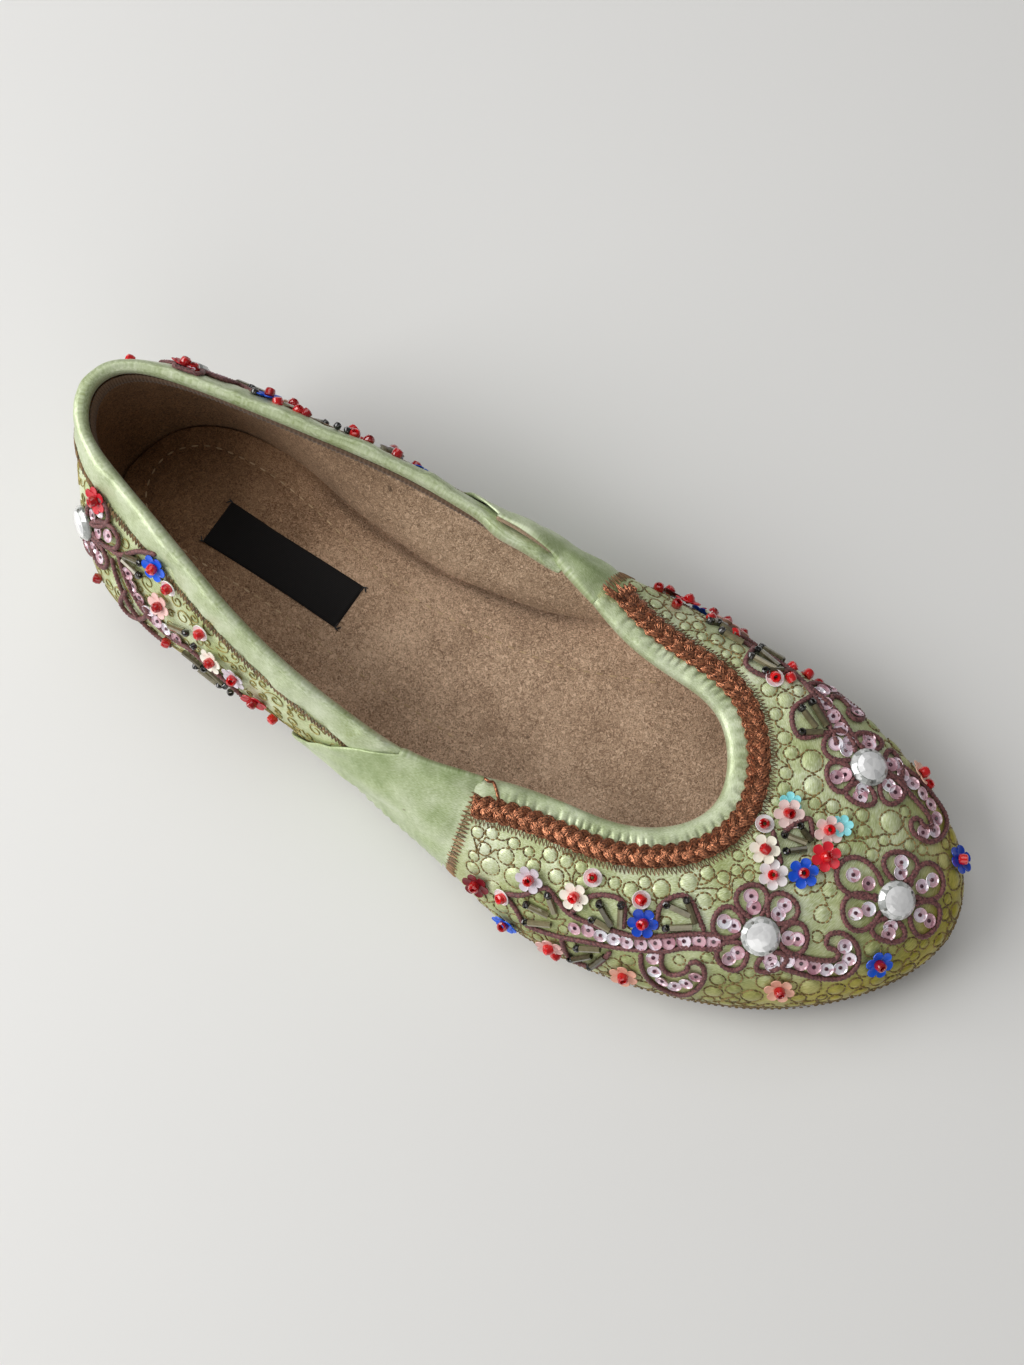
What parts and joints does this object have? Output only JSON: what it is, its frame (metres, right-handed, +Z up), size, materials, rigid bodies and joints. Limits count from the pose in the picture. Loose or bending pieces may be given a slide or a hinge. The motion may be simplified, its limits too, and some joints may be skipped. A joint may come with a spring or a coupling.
{
  "type": "beaded ballet flat",
  "caption": "Right-foot ballet flat with a low heel, satin upper, beaded floral vamp, braided throat and crossing side wings.",
  "frame": {"origin": "on the floor, straight under the middle of the heel block", "axes": "+X along the shoe to the toe, +Y to the inner (medial) side of the foot, +Z up"},
  "size_m": [0.2422, 0.0899, 0.055],
  "materials": {
    "outsole_rubber": "dark brown rubber, fine texture",
    "heel_rubber": "dark brown rubber",
    "insole_suede": "taupe-brown suede, stitched heel pad",
    "lining_suede": "taupe suede lining",
    "upper_satin": "celery-green satin with stitched quilting and thread scrolls",
    "wing_satin": "plain celery-green satin, soft folds",
    "binding_satin": "padded satin binding with fine puckers",
    "gold_thread": "gold-brown embroidery thread",
    "copper_braid": "copper metallic braid and zigzag stitching",
    "plum_cord": "plum corded embroidery",
    "label_cloth": "black woven cloth, bare",
    "gems": "faceted foil-backed stones",
    "sequins": "pearly cup and flower sequins",
    "seed_beads": "opaque round glass beads and bugles"
  },
  "bodies": {
    "root": {"outsole": "outsole_rubber", "heel": "heel_rubber", "insole": "insole_suede", "upper": "upper_satin", "wing_lateral": "wing_satin", "wing_medial": "wing_satin"}
  },
  "joints": []
}
